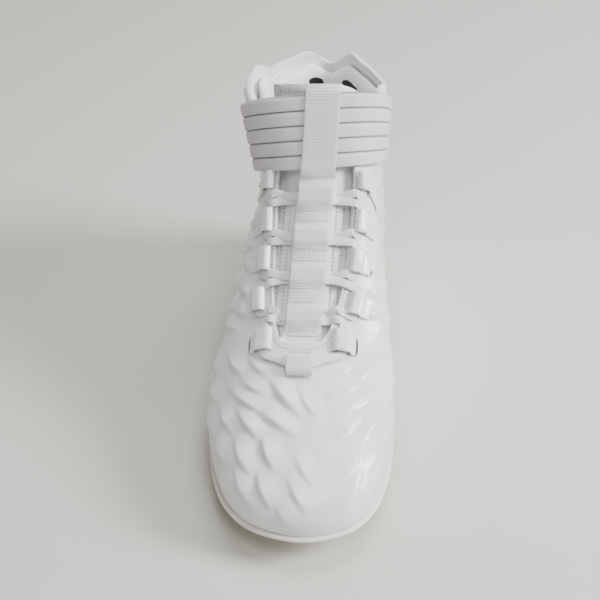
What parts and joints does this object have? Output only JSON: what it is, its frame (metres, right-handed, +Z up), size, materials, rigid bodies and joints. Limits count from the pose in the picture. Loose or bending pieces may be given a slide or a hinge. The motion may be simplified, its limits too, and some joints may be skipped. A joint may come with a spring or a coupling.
{
  "type": "american football cleat",
  "caption": "High-top american football cleat for the right foot, with a studded plate, moulded upper, laced throat, ankle strap and padded collar.",
  "frame": {"origin": "under the middle of the shoe's box, on the plane of the stud tips", "axes": "+Y from the toe to the heel, +X to the inner side of the foot, +Z up"},
  "size_m": [0.1104, 0.3108, 0.1919],
  "materials": {
    "moulded_upper": "glossy white moulded synthetic",
    "moulded_plate": "semi-gloss cream-white moulded plastic",
    "knit_collar": "matte white knit",
    "lining": "matte white padded textile",
    "elastic_strap": "matte ribbed elastic, white with a faint lilac tint",
    "webbing": "matte fine-ribbed webbing",
    "lace": "matte white woven flat lace"
  },
  "bodies": {
    "root": {"ankle_strap": "elastic_strap", "collar": "knit_collar", "collar_bolster": "lining", "insole": "lining", "lace_crossing_1": "lace", "lace_crossing_2": "lace", "lace_crossing_3": "lace", "lace_crossing_4": "lace", "lace_loop_inner_1": "moulded_upper", "lace_loop_inner_2": "moulded_upper", "lace_loop_inner_3": "moulded_upper", "lace_loop_inner_4": "moulded_upper", "lace_loop_inner_5": "moulded_upper", "lace_loop_outer_1": "moulded_upper", "lace_loop_outer_2": "moulded_upper", "lace_loop_outer_3": "moulded_upper", "lace_loop_outer_4": "moulded_upper", "lace_loop_outer_5": "moulded_upper", "lace_toe_bar": "lace", "outsole": "moulded_plate", "tongue": "lining", "tongue_spine": "webbing", "upper": "moulded_upper", "vamp_loop": "webbing"}
  },
  "joints": []
}
